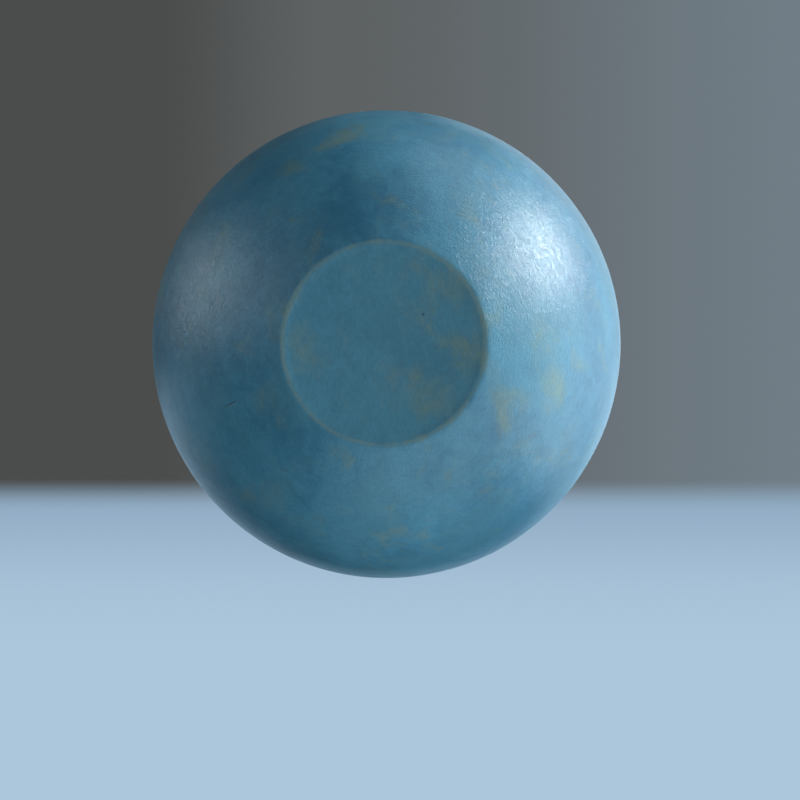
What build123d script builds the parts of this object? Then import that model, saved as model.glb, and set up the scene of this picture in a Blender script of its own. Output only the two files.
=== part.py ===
"""Turned wooden yarn bowl: a near-spherical bowl, open at the top, with a hook-shaped yarn guide in its wall.

Millimetres, +Z up. The origin lies on the standing plane, under the bowl's axis, and the guide faces -Y.
"""

import os
from math import asin, degrees, sqrt

from build123d import *

# Outside: one sphere from the standing ring to the rim.
body_radius = 65.0
height = 92.0
ring_outer_radius = 26.3

# Foot: a shallow round recess inside the narrow standing ring.
ring_width = 1.2
recess_draft = 0.9
recess_edge_depth = 0.25
recess_centre_depth = 1.4
ring_round = 0.25

# Inside: concentric with the outside above the belly, and a flatter ellipse below it.
wall = 6.5
base_thickness = 8.5
rim_round = 3.0

# Yarn guide: a straight leg down from the rim that hooks back up to a round end.
guide_width = 6.0
guide_leg_x = 9.0
guide_turn_z = 76.0
guide_turn_radius = 9.0
guide_end_radius = 4.5
guide_end_rise = 2.0
guide_round = 1.0

belly_z = sqrt(body_radius**2 - ring_outer_radius**2)
inner_radius = body_radius - wall
rim_rise = height - belly_z
rim_outer_radius = sqrt(body_radius**2 - rim_rise**2)
rim_inner_radius = sqrt(inner_radius**2 - rim_rise**2)
floor_z = recess_centre_depth + base_thickness
ring_inner_radius = ring_outer_radius - ring_width
recess_radius = ring_inner_radius - recess_draft
recess_sag = recess_centre_depth - recess_edge_depth
dish_radius = (recess_radius**2 + recess_sag**2) / (2 * recess_sag)
guide_reach = guide_leg_x + guide_turn_radius

with BuildPart() as bowl:
    with BuildSketch(Plane.XZ) as section:
        with BuildLine():
            recess_floor = CenterArc(
                (0, recess_centre_depth - dish_radius), dish_radius, 90, -degrees(asin(recess_radius / dish_radius))
            )
            recess_wall = Line(recess_floor @ 1, (ring_inner_radius, 0))
            standing_ring = Line(recess_wall @ 1, (ring_outer_radius, 0))
            outside = ThreePointArc(standing_ring @ 1, (body_radius, belly_z), (rim_outer_radius, height))
            rim = Line(outside @ 1, (rim_inner_radius, height))
            inside_top = RadiusArc(rim @ 1, (inner_radius, belly_z), inner_radius)
            inside_bottom = EllipticalCenterArc(
                (0, belly_z), inner_radius, belly_z - floor_z, start_angle=270, arc_size=90
            )
            Line(inside_bottom @ 0, recess_floor @ 0)
        make_face()
        rim_corners = section.vertices().group_by(Axis.Y)[-1]
        fillet(rim_corners, rim_round)
        ring_corners = section.vertices().group_by(Axis.Y)[0]
        fillet(ring_corners, ring_round)
    revolve(axis=Axis.Z)

    with BuildSketch(Plane.XZ.offset(body_radius)) as guide:
        turn_x = guide_leg_x - guide_turn_radius
        with Locations((guide_leg_x, guide_turn_z)):
            Rectangle(guide_width, height, align=(Align.CENTER, Align.MIN))
        with BuildLine(mode=Mode.PRIVATE) as hook:
            CenterArc((turn_x, guide_turn_z), guide_turn_radius, 180, 180)
        SlotArc(hook.edge(), guide_width)
        with Locations((turn_x - guide_turn_radius, guide_turn_z + guide_end_rise)):
            Circle(guide_end_radius)
    extrude(amount=-body_radius, mode=Mode.SUBTRACT)
    guide_edges = bowl.edges(Select.LAST).filter_by_position(Axis.X, -guide_reach, guide_reach)
    fillet(guide_edges, guide_round)

bowl.part.label = "bowl"

os.makedirs("parts", exist_ok=True)
export_step(bowl.part, "parts/bowl.step")
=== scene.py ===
"""The turned wooden yarn bowl in Blender: its mesh, its stained wood, the studio and the camera.

Metres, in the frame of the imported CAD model. The bowl's shape is worked out in millimetres, and MM
turns those into metres.
The camera looks at the underside, along +Z, with -Y up in the picture.
"""

import math

import bpy
import numpy as np
from mathutils import Matrix, Vector, kdtree, noise


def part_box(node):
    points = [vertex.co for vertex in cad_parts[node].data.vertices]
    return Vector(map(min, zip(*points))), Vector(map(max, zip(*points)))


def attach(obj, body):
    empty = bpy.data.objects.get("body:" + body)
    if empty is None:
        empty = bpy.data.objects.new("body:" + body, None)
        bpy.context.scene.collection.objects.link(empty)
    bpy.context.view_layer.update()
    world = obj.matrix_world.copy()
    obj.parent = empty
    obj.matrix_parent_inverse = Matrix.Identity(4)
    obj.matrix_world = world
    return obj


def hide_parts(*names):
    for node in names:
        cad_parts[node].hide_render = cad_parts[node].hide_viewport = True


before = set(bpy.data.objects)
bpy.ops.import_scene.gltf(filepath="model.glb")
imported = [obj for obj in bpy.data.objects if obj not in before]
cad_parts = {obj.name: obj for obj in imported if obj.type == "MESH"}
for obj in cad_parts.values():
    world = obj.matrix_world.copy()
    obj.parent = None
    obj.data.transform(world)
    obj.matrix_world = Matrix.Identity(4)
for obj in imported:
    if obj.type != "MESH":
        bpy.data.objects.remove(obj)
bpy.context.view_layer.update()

MM = 0.001
bowl_low, bowl_high = (np.array(corner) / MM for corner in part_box("bowl"))

# Sizes of the bowl, as in the CAD model.
BODY_RADIUS = (bowl_high[0] - bowl_low[0]) / 2
HEIGHT = bowl_high[2]
RING_OUTER = 26.3
RING_INNER = 25.1
RECESS_RADIUS = 24.2
RECESS_EDGE = 0.25
RECESS_CENTRE = 1.4
WALL = 6.5
BASE = 8.5
GUIDE_WIDTH = 6.0
GUIDE_LEG_X = 9.0
GUIDE_TURN_Z = 76.0
GUIDE_TURN_RADIUS = 9.0
GUIDE_END_RADIUS = 4.5
GUIDE_END_RISE = 2.0

# The guide's edges, rounded slightly more than in the CAD model, and its hook's corners at the round end.
GUIDE_ROUND = 1.1
GUIDE_CORNER = 1.0

# Hand-finished surface: how far it strays, and over what distance.
UNEVEN, UNEVEN_SPAN = 0.07, 19.0
UNEVEN_FINE, UNEVEN_FINE_SPAN = 0.025, 6.0
TURNING_MARK, TURNING_PITCH = 0.03, 3.4

# How far the wear by use reaches: round the standing ring, and down from the rim.
RING_WEAR, RIM_WEAR = 1.1, 2.2

BELLY_Z = math.sqrt(BODY_RADIUS**2 - RING_OUTER**2)
INNER_RADIUS = BODY_RADIUS - WALL
RIM_RISE = HEIGHT - BELLY_Z
RIM_OUTER = math.sqrt(BODY_RADIUS**2 - RIM_RISE**2)
RIM_INNER = math.sqrt(INNER_RADIUS**2 - RIM_RISE**2)
FLOOR_Z = RECESS_CENTRE + BASE
BELLY = Vector((0, 0, BELLY_Z)) * MM


# ---------------------------------------------------------------- shape

def run(start, end, step=0.05):
    """Points from start up to end, without end."""
    start, end = np.array(start, float), np.array(end, float)
    count = max(2, int(np.linalg.norm(end - start) / step))
    return start + np.linspace(0, 1, count, endpoint=False)[:, None] * (end - start)


def bow(centre, across, up, from_deg, to_deg, step=0.05):
    """Points on an ellipse's arc, without its end. Angles are from +r towards +z."""
    count = int(abs(math.radians(to_deg - from_deg)) * max(across, up) / step)
    turn = np.radians(np.linspace(from_deg, to_deg, count, endpoint=False))
    return np.column_stack([centre[0] + across * np.cos(turn), centre[1] + up * np.sin(turn)])


def soften(points, reach):
    """Rounds a dense outline: each point becomes the outline's average over reach to each side of it."""
    for _ in range(2):
        steps = np.linalg.norm(np.diff(points, axis=0), axis=1)
        along = np.concatenate([[0], np.cumsum(steps)])
        window = np.maximum(np.minimum(np.minimum(reach, along), along[-1] - along), 1e-4)
        middles = (points[1:] + points[:-1]) / 2 * steps[:, None]
        sums = np.vstack([[0, 0], np.cumsum(middles, axis=0)])
        low, high = np.maximum(along - window, 0), np.minimum(along + window, along[-1])
        points = np.column_stack([
            (np.interp(high, along, sums[:, i]) - np.interp(low, along, sums[:, i])) / (high - low)
            for i in range(2)
        ])
    return points


def dish_z(from_axis):
    """The height of the hollow disc in the middle of the underside."""
    return RECESS_CENTRE + (RECESS_EDGE - RECESS_CENTRE) * (from_axis / RECESS_RADIUS) ** 2


def section():
    """The wall's section as (r, z) points, and the spacing that each point asks of the mesh.

    It runs from the middle of the recess round the outside and over the rim to the inside's middle.
    """
    dish = run((0, 0), (RECESS_RADIUS, 0))
    dish[:, 1] = dish_z(dish[:, 0])
    near_edge = 24  # points of the dish, which take the finer mesh of its edge
    ring_angle = math.degrees(math.atan2(-BELLY_Z, RING_OUTER))
    rim_angle = math.degrees(math.atan2(RIM_RISE, RIM_OUTER))
    inner_rim_angle = math.degrees(math.atan2(RIM_RISE, RIM_INNER))
    stretches = [
        # points, how far the edges there are softened, mesh spacing
        (dish[:-near_edge], 0.1, 1.0),
        (dish[-near_edge:], 0.7, 0.3),
        (run((RECESS_RADIUS, RECESS_EDGE), (RING_INNER, 0)), 0.45, 0.22),
        (run((RING_INNER, 0), (RING_OUTER, 0)), 0.35, 0.2),
        (bow((0, BELLY_Z), BODY_RADIUS, BODY_RADIUS, ring_angle, ring_angle + 3), 0.4, 0.35),
        (bow((0, BELLY_Z), BODY_RADIUS, BODY_RADIUS, ring_angle + 3, 0), 0.4, 1.1),
        (bow((0, BELLY_Z), BODY_RADIUS, BODY_RADIUS, 0, rim_angle), 2.4, 0.75),
        (run((RIM_OUTER, HEIGHT), (RIM_INNER, HEIGHT)), 2.6, 0.45),
        (bow((0, BELLY_Z), INNER_RADIUS, INNER_RADIUS, inner_rim_angle, 0), 2.4, 0.75),
        (bow((0, BELLY_Z), INNER_RADIUS, BELLY_Z - FLOOR_Z, 0, -90), 0.4, 1.2),
        (np.array([[0, FLOOR_Z]]), 0.1, 1.2),
    ]
    points = np.vstack([s[0] for s in stretches])
    reach = np.concatenate([np.full(len(s[0]), s[1]) for s in stretches])
    spacing = np.concatenate([np.full(len(s[0]), s[2]) for s in stretches])
    blended = 20  # points to each side, over which one stretch's numbers pass into the next's
    share = np.ones(2 * blended + 1) / (2 * blended + 1)
    reach = np.convolve(np.pad(reach, blended, mode="edge"), share, mode="valid")
    spacing = np.convolve(np.pad(spacing, blended, mode="edge"), share, mode="valid")
    return soften(points, reach), spacing


def thin_out(points, spacing):
    """The dense section's points that the mesh keeps, as far apart as spacing says."""
    steps = np.linalg.norm(np.diff(points, axis=0), axis=1) / spacing[1:]
    along = np.concatenate([[0], np.cumsum(steps)])
    count = int(round(along[-1]))
    wanted = np.linspace(0, along[-1], count + 1)
    return np.column_stack([np.interp(wanted, along, points[:, i]) for i in range(2)])


def turned_angles():
    """Angles round the bowl, from the guide's side at -Y, closer together where the guide is cut."""
    guide_half, guide_count, rest_count = math.radians(16), 64, 260
    near = np.linspace(-guide_half, guide_half, guide_count, endpoint=False)
    far = np.linspace(guide_half, 2 * math.pi - guide_half, rest_count, endpoint=False)
    return np.concatenate([near, far]) - math.pi / 2


def new_mesh(name, points, faces):
    """An object of these points in millimetres."""
    mesh = bpy.data.meshes.new(name)
    mesh.from_pydata((np.asarray(points) * MM).tolist(), [], faces)
    mesh.validate()
    thing = bpy.data.objects.new(name, mesh)
    bpy.context.scene.collection.objects.link(thing)
    return thing


def turn(name, outline):
    """The closed solid made by turning the outline, which starts and ends on the axis, round Z."""
    angles = turned_angles()
    around = len(angles)
    rings = outline[1:-1]
    points = [[0, 0, outline[0, 1]]]
    for r, z in rings:
        points.extend(np.column_stack([r * np.cos(angles), r * np.sin(angles), np.full(around, z)]))
    points.append([0, 0, outline[-1, 1]])
    last = len(points) - 1
    faces = []
    for k in range(around):
        j = (k + 1) % around
        faces.append((0, 1 + j, 1 + k))
        for i in range(len(rings) - 1):
            a, b = 1 + i * around, 1 + (i + 1) * around
            faces.append((a + k, a + j, b + j, b + k))
        faces.append((last, last - around + k, last - around + j))
    return new_mesh(name, points, faces)


def guide_distance(x, z):
    """Signed distance in the XZ plane to the yarn guide's cut, negative inside the cut."""
    turn_x = GUIDE_LEG_X - GUIDE_TURN_RADIUS
    half = GUIDE_WIDTH / 2
    leg = np.maximum(np.abs(x - GUIDE_LEG_X) - half, GUIDE_TURN_Z - z)
    hook = np.abs(np.hypot(x - turn_x, z - GUIDE_TURN_Z) - GUIDE_TURN_RADIUS) - half
    hook = np.where(z <= GUIDE_TURN_Z, hook, 1e3)
    end_x, end_z = turn_x - GUIDE_TURN_RADIUS, GUIDE_TURN_Z + GUIDE_END_RISE
    end = np.hypot(x - end_x, z - end_z) - GUIDE_END_RADIUS
    near = np.maximum(GUIDE_CORNER - np.abs(hook - end), 0) / GUIDE_CORNER
    return np.minimum(leg, np.minimum(hook, end) - near**2 * GUIDE_CORNER / 4)


def guide_slope(x, z, step=1e-3):
    """The direction in which guide_distance grows, as (x, z) rows."""
    slope = np.column_stack([
        guide_distance(x + step, z) - guide_distance(x - step, z),
        guide_distance(x, z + step) - guide_distance(x, z - step),
    ])
    return slope / np.maximum(np.linalg.norm(slope, axis=1), 1e-12)[:, None]


def guide_cutter():
    """The solid that cuts the guide: its outline pushed along Y through the wall."""
    turn_x, half, step = GUIDE_LEG_X - GUIDE_TURN_RADIUS, GUIDE_WIDTH / 2, 0.45
    top, outside, inside = HEIGHT + 6, -BODY_RADIUS - 4, -INNER_RADIUS + 18
    turn_at = (turn_x, GUIDE_TURN_Z)
    end_at = (turn_x - GUIDE_TURN_RADIUS, GUIDE_TURN_Z + GUIDE_END_RISE)
    outer, inner = GUIDE_TURN_RADIUS + half, GUIDE_TURN_RADIUS - half
    side = math.degrees(math.acos(half / GUIDE_END_RADIUS))
    outline = np.vstack([
        run((GUIDE_LEG_X + half, top), (GUIDE_LEG_X + half, GUIDE_TURN_Z), step),
        bow(turn_at, outer, outer, 0, -170, step),
        bow(end_at, GUIDE_END_RADIUS, GUIDE_END_RADIUS, 180 + side, -side, step),
        bow(turn_at, inner, inner, -165, 0, step),
        run((GUIDE_LEG_X - half, GUIDE_TURN_Z), (GUIDE_LEG_X - half, top), step),
        [[GUIDE_LEG_X - half, top]],
    ])
    # The arcs' meeting points are drawn onto the guide's own outline, with its rounded corners.
    low = outline[:, 1] < HEIGHT + 2
    for _ in range(4):
        x, z = outline[low].T
        outline[low] -= guide_distance(x, z)[:, None] * guide_slope(x, z)
    depths = np.arange(outside, inside, step)
    around = len(outline)
    points = [(x, y, z) for y in depths for x, z in outline]
    last = len(points) - around
    faces = [tuple(range(around - 1, -1, -1)), tuple(range(last, last + around))]
    for i in range(len(depths) - 1):
        for k in range(around):
            a, b = i * around + k, i * around + (k + 1) % around
            faces.append((a, b, b + around, a + around))
    return new_mesh("guide_cutter", points, faces)


def cut(thing, cutter):
    """Cuts the cutter out of the thing's mesh, and removes the cutter."""
    boolean = thing.modifiers.new("cut", "BOOLEAN")
    boolean.operation, boolean.solver, boolean.object = "DIFFERENCE", "EXACT", cutter
    shaped = bpy.data.meshes.new_from_object(thing.evaluated_get(bpy.context.evaluated_depsgraph_get()))
    thing.modifiers.clear()
    thing.data = shaped
    bpy.data.objects.remove(cutter)


def places(mesh):
    """The mesh's points in millimetres."""
    found = np.empty(len(mesh.vertices) * 3)
    mesh.vertices.foreach_get("co", found)
    return found.reshape(-1, 3) / MM


def place(mesh, points):
    """Moves the mesh's points to these, in millimetres."""
    mesh.vertices.foreach_set("co", (points * MM).ravel())
    mesh.update()


def wall_distance(points, outline):
    """Signed distance from each point to the turned wall, negative in the wood, and the way out."""
    along = np.gradient(outline, axis=0)
    outward = np.column_stack([along[:, 1], -along[:, 0]])
    outward /= np.linalg.norm(outward, axis=1)[:, None]
    tree = kdtree.KDTree(len(outline))
    for i, (r, z) in enumerate(outline):
        tree.insert((r, z, 0), i)
    tree.balance()
    radial = np.hypot(points[:, 0], points[:, 1])
    nearest = np.array([tree.find((r, z, 0))[1] for r, z in zip(radial, points[:, 2])])
    offset = np.column_stack([radial, points[:, 2]]) - outline[nearest]
    out = outward[nearest]
    sideways = points[:, :2] / radial[:, None] * out[:, :1]
    return (offset * out).sum(axis=1), np.column_stack([sideways, out[:, 1]])


def round_guide(mesh, outline):
    """Rounds the guide's edges by GUIDE_ROUND. Returns how far into one each point lies, 0 to 1."""
    points = places(mesh)
    edge = np.zeros(len(points))
    by_guide = guide_distance(points[:, 0], points[:, 2]) < 2 * GUIDE_ROUND
    near = np.flatnonzero(by_guide & (points[:, 1] < 0) & (points[:, 2] > BELLY_Z))
    for _ in range(5):
        p = points[near]
        wall, wall_way = wall_distance(p, outline)
        guide = -guide_distance(p[:, 0], p[:, 2])
        slope = guide_slope(p[:, 0], p[:, 2])
        guide_way = -np.column_stack([slope[:, 0], np.zeros(len(p)), slope[:, 1]])
        into_wall = np.maximum(GUIDE_ROUND + wall, 0)
        into_guide = np.maximum(GUIDE_ROUND + guide, 0)
        length = np.maximum(np.hypot(into_wall, into_guide), 1e-9)
        way = (into_wall[:, None] * wall_way + into_guide[:, None] * guide_way) / length[:, None]
        both = (into_wall > 0) & (into_guide > 0)
        move = np.where(both, length - GUIDE_ROUND, 0)[:, None] * way
        points[near] -= move / np.maximum((way**2).sum(axis=1), 0.25)[:, None]
    edge[near] = np.where(both, np.minimum(into_wall, into_guide) / GUIDE_ROUND, 0)
    place(mesh, points)
    return np.clip(edge * 2, 0, 1)


def add_relief(mesh):
    """The slight unevenness of a hand-finished surface, and the faint turning marks inside."""
    points = places(mesh)
    normals = np.empty(len(points) * 3)
    mesh.vertex_normals.foreach_get("vector", normals)
    normals = normals.reshape(-1, 3)
    uneven = UNEVEN * np.array([noise.noise(Vector(p) / UNEVEN_SPAN) for p in points])
    uneven += UNEVEN_FINE * np.array([noise.noise(Vector(p) / UNEVEN_FINE_SPAN) for p in points])
    radial = np.hypot(points[:, 0], points[:, 1])
    inside = (np.hypot(radial, points[:, 2] - BELLY_Z) < INNER_RADIUS + 0.5) & (points[:, 2] > BASE)
    marks = TURNING_MARK * np.sin(2 * math.pi * np.hypot(radial, points[:, 2] - HEIGHT) / TURNING_PITCH)
    # It goes into the surface rather than standing proud of it, and leaves the standing ring flat.
    quiet = np.clip((points[:, 2] - 0.4) / 2, 0, 1)
    out = (uneven - UNEVEN) * quiet + np.where(inside, marks - TURNING_MARK, 0)
    place(mesh, points + normals * out[:, None])


def make_bowl():
    """The finished bowl: turned, cut, rounded and slightly uneven, with how worn each point is."""
    outline, spacing = section()
    bowl = turn("bowl_turned", thin_out(outline, spacing))
    cut(bowl, guide_cutter())
    mesh = bowl.data
    guide_edge = round_guide(mesh, outline)
    points = places(mesh)
    radial = np.hypot(points[:, 0], points[:, 1])
    ring_middle = (RING_OUTER + RING_INNER) / 2
    ring = np.clip(1.2 - np.hypot(radial - ring_middle, points[:, 2]) / RING_WEAR, 0, 1)
    rim = np.clip((points[:, 2] - HEIGHT + RIM_WEAR) / RIM_WEAR, 0, 1)
    worn = mesh.attributes.new("worn", "FLOAT", "POINT")
    worn.data.foreach_set("value", np.maximum(np.maximum(ring, rim), guide_edge))
    add_relief(mesh)
    mesh.shade_smooth()
    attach(bowl, "root")
    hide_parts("bowl")
    return bowl


# ---------------------------------------------------------------- material

def linear(red, green, blue):
    """A display colour, 0 to 255, as the shader's linear colour."""
    def one(value):
        value /= 255
        return value / 12.92 if value <= 0.04045 else ((value + 0.055) / 1.055) ** 2.4
    return (one(red), one(green), one(blue), 1)


# Colours of the stain, of the wood under it, and of its fibres, pores and worn edges.
STAIN_DEEP = linear(44, 97, 124)
STAIN_LIGHT = linear(68, 126, 151)
STAIN_GREEN = linear(69, 116, 131)
BARE_WOOD = linear(108, 124, 102)
FIBRE_DARK = linear(34, 80, 104)
PORE_DARK = linear(18, 46, 60)
WORN_EDGE = linear(100, 122, 116)

# How finely the creases change round the bowl and away from its middle, and how deep they are.
CREASE_ROUND, CREASE_AWAY, CREASE_DEPTH = 18.0, 1.7, 0.12

# Places underneath: x and y in millimetres, how far they reach, and how strongly.
RUBBED_SPOTS = (
    (33, 16, 10, 1.0),
    (45, 13, 9, 0.8),
    (50, 3, 7, 0.6),
    (23, 20, 6, 0.7),
    (38, 25, 7, 0.5),
    (-12, -54, 9, 0.9),
    (-25, -46, 7, 0.5),
    (22, -35, 8, 0.6),
    (-39, -10, 6, 0.5),
    (10, 13, 9, 1.05),
    (21, 3, 7, 0.8),
    (16, -15, 6, 0.55),
    (-20, -1, 6, 0.45),
)
# Darker places underneath: partly deeper stain, partly painted shade where the underside lies in shadow.
SHADE_AND_STAIN_SPOTS = (
    (-1, -33, 20, 1.6),
    (25, -14, 10, 0.8),
    (-24, 22, 12, 0.8),
    (57, 6, 6, 0.7),
)


class Shader:
    """Short names for building a node tree. Each call returns the new node's first output."""

    def __init__(self, name):
        self.material = bpy.data.materials.new(name)
        self.material.use_nodes = True
        self.tree = self.material.node_tree
        self.tree.nodes.clear()

    def add(self, kind, **settings):
        node = self.tree.nodes.new("ShaderNode" + kind)
        for key, value in settings.items():
            setattr(node, key, value)
        return node

    def feed(self, socket, value):
        if isinstance(value, bpy.types.NodeSocket):
            self.tree.links.new(value, socket)
        else:
            socket.default_value = value

    def math(self, operation, *values):
        node = self.add("Math", operation=operation)
        for socket, value in zip(node.inputs, values):
            self.feed(socket, value)
        return node.outputs[0]

    def sway(self, value, by):
        """value, which lies about 0.5, as -by / 2 to by / 2."""
        return self.math("MULTIPLY", self.math("SUBTRACT", value, 0.5), by)

    def vector(self, operation, a, b=(0, 0, 0)):
        node = self.add("VectorMath", operation=operation)
        self.feed(node.inputs[0], a)
        self.feed(node.inputs[3 if operation == "SCALE" else 1], b)
        return node.outputs[1 if operation in ("DISTANCE", "LENGTH", "DOT_PRODUCT") else 0]

    def noise(self, at, scale, detail=4.0, roughness=0.55, distortion=0.0, colour=False):
        node = self.add("TexNoise")
        self.feed(node.inputs["Vector"], at)
        self.feed(node.inputs["Scale"], scale)
        self.feed(node.inputs["Detail"], detail)
        self.feed(node.inputs["Roughness"], roughness)
        self.feed(node.inputs["Distortion"], distortion)
        return node.outputs["Color" if colour else "Fac"]

    def ramp(self, value, low, high, to_low=0.0, to_high=1.0):
        """value from low to high, smoothly, as to_low to to_high."""
        node = self.add("MapRange", interpolation_type="SMOOTHSTEP")
        for socket, number in zip(node.inputs, (value, low, high, to_low, to_high)):
            self.feed(socket, number)
        return node.outputs[0]

    def mix(self, share, a, b):
        node = self.add("Mix", data_type="RGBA")
        self.feed(node.inputs[0], share)
        self.feed(node.inputs[6], a)
        self.feed(node.inputs[7], b)
        return node.outputs[2]


def underside(x, y):
    """The point of the bowl's underside at x and y."""
    from_axis = math.hypot(x, y)
    if from_axis < RECESS_RADIUS:
        return (x, y, dish_z(from_axis))
    return (x, y, BELLY_Z - math.sqrt(BODY_RADIUS**2 - from_axis**2))


def near_spots(s, here, spots, fray):
    """1 in the middle of the nearest of the spots, 0 away from them, with a frayed edge."""
    nearest = 0.0
    for x, y, reach, strength in spots:
        away = s.math("DIVIDE", s.vector("DISTANCE", here, underside(x, y)), reach)
        edge = s.math("ADD", away, s.sway(fray, 1.4))
        nearest = s.math("MAXIMUM", s.ramp(edge, 1.1, 0.2, 0, strength), nearest)
    return nearest


def scratch(s, here, x, y, degrees, length, width):
    """1 along a short scratch on the underside, 0 away from it."""
    offset = s.vector("SUBTRACT", here, underside(x, y))
    turn = math.radians(degrees)
    along_way = (math.cos(turn) * 2 / length, math.sin(turn) * 2 / length, 0)
    across_way = (-math.sin(turn) * 2 / width, math.cos(turn) * 2 / width, 0)
    out = s.add("CombineXYZ")
    for socket, way in zip(out.inputs, (along_way, across_way, (0, 0, 0.5 / length))):
        s.feed(socket, s.vector("DOT_PRODUCT", offset, way))
    return s.ramp(s.vector("LENGTH", out.outputs[0]), 1.3, 0.2)


def with_grain(s, at, squeeze):
    """The place with its Y squeezed, so that noise there is drawn out along the grain."""
    return s.vector("MULTIPLY", at, (1, squeeze, 1))


def stain(s, here, from_axis, wander):
    """Deep and light blue in soft clouds along the grain, a finer mottle, greener places, and darker
    spots that are partly painted shade.
    """
    cloud_at = s.vector("ADD", with_grain(s, here, 0.6), wander)
    cloud = s.noise(cloud_at, 0.045, 4, 0.55)
    mottle = s.noise(with_grain(s, here, 0.8), 0.3, 5, 0.65, 0.5)
    depth = s.math("ADD", s.math("MULTIPLY", cloud, 0.6), s.math("MULTIPLY", mottle, 0.4))
    # These spots darken the stain: partly painted shade, partly deeper stain.
    deeper_and_shaded = s.math("MULTIPLY", near_spots(s, here, SHADE_AND_STAIN_SPOTS, cloud), 0.09)
    depth = s.math("SUBTRACT", depth, deeper_and_shaded)
    blue = s.mix(s.ramp(depth, 0.3, 0.7), STAIN_DEEP, STAIN_LIGHT)

    green = s.noise(s.vector("ADD", cloud_at, (31, 7, 12)), 0.06, 4, 0.55)
    split = s.add("SeparateXYZ")
    s.feed(split.inputs[0], here)
    underneath = s.ramp(split.outputs["Z"], 4, 2)
    in_recess = s.math("MULTIPLY", s.ramp(from_axis, RING_OUTER, RING_INNER), underneath)
    share = s.math("MAXIMUM", s.ramp(green, 0.45, 0.65, 0, 0.35), s.math("MULTIPLY", in_recess, 0.4))
    return s.mix(share, blue, STAIN_GREEN)


def rubbed_back(s, here, patchy, fray):
    """How far the stain is rubbed back, in patches of uneven shape, most of them near RUBBED_SPOTS."""
    bare = s.math("ADD", patchy, s.math("MULTIPLY", near_spots(s, here, RUBBED_SPOTS, fray), 0.26))
    bare = s.math("ADD", bare, s.sway(fray, 0.35))
    return s.ramp(bare, 0.52, 0.86, 0, 0.55)


def with_fibres(s, here, fibre, colour):
    """The colour with fine fibres and pores along the grain, and a fine speckle."""
    colour = s.mix(s.ramp(fibre, 0.35, 0.68, 0.2, 0), colour, FIBRE_DARK)
    speck = s.noise(here, 2.0, 3, 0.7)
    colour = s.mix(s.ramp(speck, 0.5, 0.72, 0, 0.3), colour, STAIN_LIGHT)
    pore = s.noise(with_grain(s, here, 0.2), 3.0, 2, 0.5)
    return s.mix(s.ramp(pore, 0.64, 0.76, 0, 0.2), colour, PORE_DARK)


def edge_wear(s, patchy, fray):
    """How far the edges that make_bowl marks as worn are rubbed by use."""
    worn = s.add("Attribute", attribute_name="worn").outputs["Fac"]
    scuff = s.math("ADD", worn, s.sway(fray, 1.2))
    return s.ramp(s.math("ADD", scuff, s.sway(patchy, 1.5)), 0.3, 1.2, 0, 0.5)


def relief(s, here, from_axis, nick):
    """The surface's height: sanding creases round the bowl, crossed by raised fibres, and the nick."""
    round_at = s.vector("NORMALIZE", s.vector("MULTIPLY", here, (1, 1, 0)))
    round_at = s.vector("SCALE", round_at, CREASE_ROUND)
    round_at = s.vector("ADD", round_at, s.vector("SCALE", here, 0.4))
    away_at = s.add("CombineXYZ")
    s.feed(away_at.inputs[2], s.math("MULTIPLY", s.vector("LENGTH", here), CREASE_AWAY))
    crease = s.noise(s.vector("ADD", round_at, away_at.outputs[0]), 0.7, 3, 0.6, 1.5)
    crease = s.math("ABSOLUTE", s.math("SUBTRACT", crease, 0.5))
    crease = s.math("MULTIPLY", crease, s.ramp(from_axis, 2, RING_OUTER + 4))
    raised = s.noise(with_grain(s, here, 0.4), 1.0, 4, 0.6, 0.4)
    height = s.math("ADD", s.math("MULTIPLY", raised, 0.35), s.math("MULTIPLY", crease, 1.8))
    return s.math("SUBTRACT", height, s.math("MULTIPLY", nick, 0.7))


def stained_wood():
    """Hardwood with its grain along Y, stained blue, rubbed back in places and waxed."""
    s = Shader("stained_wood")
    here = s.vector("SCALE", s.add("TexCoord").outputs["Object"], 1 / MM)
    from_axis = s.vector("LENGTH", s.vector("MULTIPLY", here, (1, 1, 0)))
    wander = s.vector("SCALE", s.noise(here, 0.05, 2, colour=True), 10.0)
    fray = s.noise(with_grain(s, here, 0.8), 0.4, 5, 0.65)
    patch_at = s.vector("ADD", with_grain(s, here, 0.7), s.vector("SCALE", wander, 0.5))
    patchy = s.noise(patch_at, 0.11, 5, 0.62, 0.6)
    fibre = s.noise(with_grain(s, here, 0.3), 1.9, 4, 0.7)
    nick = scratch(s, here, -39.5, 15.5, -28, 4.0, 0.5)
    dot = scratch(s, here, 9.9, -7.4, 80, 1.0, 0.6)

    rubbed = rubbed_back(s, here, patchy, fray)
    colour = s.mix(rubbed, stain(s, here, from_axis, wander), BARE_WOOD)
    colour = with_fibres(s, here, fibre, colour)
    colour = s.mix(edge_wear(s, patchy, fray), colour, WORN_EDGE)
    colour = s.mix(s.math("MULTIPLY", s.math("MAXIMUM", nick, dot), 0.8), colour, PORE_DARK)

    bump = s.add("Bump")
    s.feed(bump.inputs["Strength"], 1.0)
    s.feed(bump.inputs["Distance"], CREASE_DEPTH * MM)
    s.feed(bump.inputs["Height"], relief(s, here, from_axis, nick))

    skin = s.add("BsdfPrincipled")
    s.feed(skin.inputs["Base Color"], colour)
    s.feed(skin.inputs["Roughness"], s.ramp(s.math("ADD", fibre, rubbed), 0.3, 1.2, 0.4, 0.52))
    s.feed(skin.inputs["Specular IOR Level"], 0.15)
    s.feed(skin.inputs["Coat Weight"], 0.5)
    s.feed(skin.inputs["Coat Roughness"], 0.15)
    s.feed(skin.inputs["Normal"], bump.outputs[0])
    s.feed(skin.inputs["Coat Normal"], bump.outputs[0])
    s.feed(s.add("OutputMaterial").inputs["Surface"], skin.outputs[0])
    return s.material


# ---------------------------------------------------------------- studio

# How far under the bowl the floor lies, so that the two don't share a plane.
FLOOR_DROP = 0.0002

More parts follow.
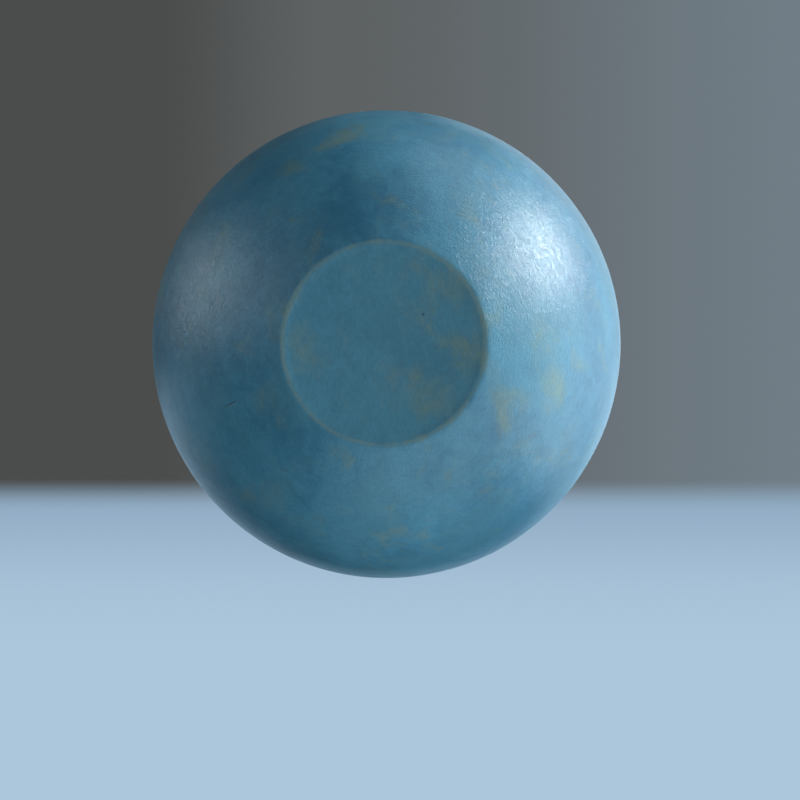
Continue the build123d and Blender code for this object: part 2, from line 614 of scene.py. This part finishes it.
# The table of the main view: its height, its near and far edges along Z, and half its width.
TABLE_Y, TABLE_NEAR, TABLE_FAR, TABLE_HALF = 0.21, 0.42, 3.2, 1.8
BACKDROP_TOP = -1.5

# The slightly blue light of an overcast window.
WINDOW_WHITE = (0.96, 0.985, 1)


def pale_floor():
    """A plain matt finish with a little unevenness, seen only from its front."""
    s = Shader("floor")
    here = s.add("TexCoord").outputs["Object"]
    tone = s.ramp(s.noise(here, 1.5, 3), 0.3, 0.7, 0.0, 0.06)
    skin = s.add("BsdfPrincipled")
    s.feed(skin.inputs["Base Color"], s.mix(tone, linear(198, 203, 208), (1, 1, 1, 1)))
    s.feed(skin.inputs["Roughness"], 0.8)
    both = s.add("MixShader")
    s.feed(both.inputs[0], s.add("NewGeometry").outputs["Backfacing"])
    s.feed(both.inputs[1], skin.outputs[0])
    s.feed(both.inputs[2], s.add("BsdfTransparent").outputs[0])
    s.feed(s.add("OutputMaterial").inputs["Surface"], both.outputs[0])
    return s.material


def sheet_of(name, corners, material):
    """A flat stage panel with these corners in metres."""
    mesh = bpy.data.meshes.new(name)
    mesh.from_pydata(corners, [], [(0, 1, 2, 3)])
    panel = bpy.data.objects.new(name, mesh)
    bpy.context.scene.collection.objects.link(panel)
    mesh.materials.append(material)
    return panel


def make_cove():
    """The floor that the bowl stands on, and the wall it curves up into, seen only from within."""
    flat_radius, curve_radius, wall_top, around = 1.2, 0.8, 2.4, 96
    curve = [
        (flat_radius + curve_radius * math.sin(a), curve_radius * (1 - math.cos(a)))
        for a in np.radians(np.linspace(0, 90, 13))
    ]
    section = [(0.05, 0), (0.3, 0), *curve, (flat_radius + curve_radius, wall_top)]
    points, faces = [(0, 0, -FLOOR_DROP)], []
    for r, z in section:
        points += [
            (r * math.cos(a), r * math.sin(a), z - FLOOR_DROP)
            for a in np.linspace(0, 2 * math.pi, around, endpoint=False)
        ]
    for k in range(around):
        j = (k + 1) % around
        faces.append((0, 1 + k, 1 + j))
        for i in range(len(section) - 1):
            a, b = 1 + i * around, 1 + (i + 1) * around
            faces.append((a + k, b + k, b + j, a + j))
    mesh = bpy.data.meshes.new("floor")
    mesh.from_pydata(points, [], faces)
    mesh.shade_smooth()
    mesh.materials.append(pale_floor())
    cove = bpy.data.objects.new("floor", mesh)
    bpy.context.scene.collection.objects.link(cove)
    cove.visible_shadow = cove.visible_diffuse = cove.visible_glossy = False
    return cove


def glow(name, colour_at):
    """A stage finish that shines with its own colour, so that no light or shadow falls on it."""
    s = Shader(name)
    split = s.add("SeparateXYZ")
    s.feed(split.inputs[0], s.add("TexCoord").outputs["Object"])
    shine = s.add("Emission")
    s.feed(shine.inputs["Color"], colour_at(s, split))
    s.feed(s.add("OutputMaterial").inputs["Surface"], shine.outputs[0])
    return s.material


def backdrop_painted_light(s, split):
    """Grey, with painted light: darker on the left, lighter and bluer towards the right."""
    left = s.mix(s.ramp(split.outputs["X"], -0.44, -0.12), linear(75, 77, 76), linear(94, 98, 99))
    return s.mix(s.ramp(split.outputs["X"], -0.15, 0.75), left, linear(113, 126, 135))


def table_painted_light(s, split):
    """Painted light: paler towards the camera, and fading into the backdrop at its far edge."""
    behind = backdrop_painted_light(s, split)
    far = split.outputs["Z"]
    near = s.mix(s.ramp(far, 2.6, 0.9), linear(146, 173, 197), linear(172, 198, 220))
    return s.mix(s.ramp(far, 2.35, TABLE_FAR), near, behind)


def make_table_and_backdrop():
    """The pale table and grey backdrop behind the bowl in the main view, which looks up along +Z."""
    half, y, near, far, top = TABLE_HALF, TABLE_Y, TABLE_NEAR, TABLE_FAR, BACKDROP_TOP
    flat = [(-half, y, near), (half, y, near), (half, y, far), (-half, y, far)]
    upright = [(-half, y, far), (half, y, far), (half, top, far), (-half, top, far)]
    table = sheet_of("table", flat, glow("table", table_painted_light))
    backdrop = sheet_of("backdrop", upright, glow("backdrop", backdrop_painted_light))
    for panel in (table, backdrop):
        panel.visible_shadow = panel.visible_diffuse = False


def softbox(name, direction, distance, size, power, gloss=True, lights_floor=False):
    """A rectangular area light in this direction from the bowl's belly, which it faces.

    Metres and watts. Without gloss, its reflection doesn't show.
    """
    light = bpy.data.lights.new(name, "AREA")
    light.shape = "RECTANGLE"
    light.size, light.size_y = size
    light.energy = power
    light.color = (1, 1, 1) if lights_floor else WINDOW_WHITE
    lamp = bpy.data.objects.new(name, light)
    lamp.visible_glossy = gloss
    lamp.location = BELLY + Vector(direction).normalized() * distance
    lamp.rotation_euler = (BELLY - lamp.location).to_track_quat("-Z", "Y").to_euler()
    bpy.context.scene.collection.objects.link(lamp)
    if not lights_floor:
        lamp.light_linking.receiver_collection = bpy.data.collections["kept_off_floor"]


def make_lights(floor):
    """The studio's lights, all but one kept off the floor, and a dim grey world."""
    kept_off = bpy.data.collections.new("kept_off_floor")
    kept_off.objects.link(floor)
    kept_off.collection_objects[0].light_linking.link_state = "EXCLUDE"
    softbox("key", (0.84, -0.49, 0.06), 0.9, (0.36, 0.5), 14.2)
    softbox("side", (1.0, 0.22, 0.0), 0.9, (0.9, 1.1), 6.5)
    softbox("behind_right", (0.6, -0.2, 1.0), 1.0, (0.8, 0.8), 1.2)
    softbox("behind_left", (-0.5, 0.3, 1.0), 1.0, (0.5, 0.6), 7.0, gloss=False)
    softbox("low_right", (0.7, 0.7, -0.25), 0.9, (0.9, 0.7), 5.9, gloss=False)
    softbox("edge_right", (0.95, 0.3, 0.5), 1.0, (0.8, 0.8), 1.4)
    softbox("above", (0.5, -0.85, 0.1), 1.0, (0.8, 0.8), 3.1)
    softbox("left_sheen", (-0.88, -0.27, 0.15), 1.2, (0.6, 0.9), 3.8)
    softbox("left_wall", (-0.8, -0.4, -0.45), 1.2, (0.9, 0.9), 1.9)
    softbox("table_front", (0.3, 0.8, -0.5), 1.0, (1.4, 0.6), 3.2)
    softbox("front_fill", (0.0, 0.0, -1.0), 1.4, (1.0, 1.0), 7.9, gloss=False)
    softbox("top", (0.12, -0.1, 1.0), 1.5, (1.0, 1.0), 21, gloss=False, lights_floor=True)
    world = bpy.data.worlds.new("studio")
    world.use_nodes = True
    background = world.node_tree.nodes["Background"]
    background.inputs["Color"].default_value = linear(170, 182, 194)
    background.inputs["Strength"].default_value = 0.03
    bpy.context.scene.world = world


def make_camera():
    """The photograph's view: from under the bowl, nearly along its axis, with -Y up."""
    distance = 0.62
    off_axis = Vector((0.0076, 0.0031, 0))
    # Where the bowl's middle is, in shares of the picture's width from the picture's middle.
    aside, above = -0.0167, 0.0691
    camera = bpy.data.cameras.new("camera")
    camera.lens, camera.sensor_width = 100, 36
    camera.clip_start, camera.clip_end = 0.01, 20
    eye = bpy.data.objects.new("camera", camera)
    eye.location = BELLY + off_axis - Vector((0, 0, distance))
    forward = (BELLY - eye.location).normalized()
    right = forward.cross(Vector((0, -1, 0))).normalized()
    facing = Matrix((right, right.cross(forward), -forward)).transposed()
    frame_width = camera.sensor_width / camera.lens
    turn_aside = Matrix.Rotation(math.atan(aside * frame_width), 3, "Y")
    turn_above = Matrix.Rotation(-math.atan(above * frame_width), 3, "X")
    eye.rotation_euler = (facing @ turn_aside @ turn_above).to_euler()
    bpy.context.scene.collection.objects.link(eye)
    bpy.context.scene.camera = eye


make_camera()
make_table_and_backdrop()
make_lights(make_cove())
bowl = make_bowl()
bowl.data.materials.clear()
bowl.data.materials.append(stained_wood())

bpy.context.scene.view_settings.view_transform = "Standard"
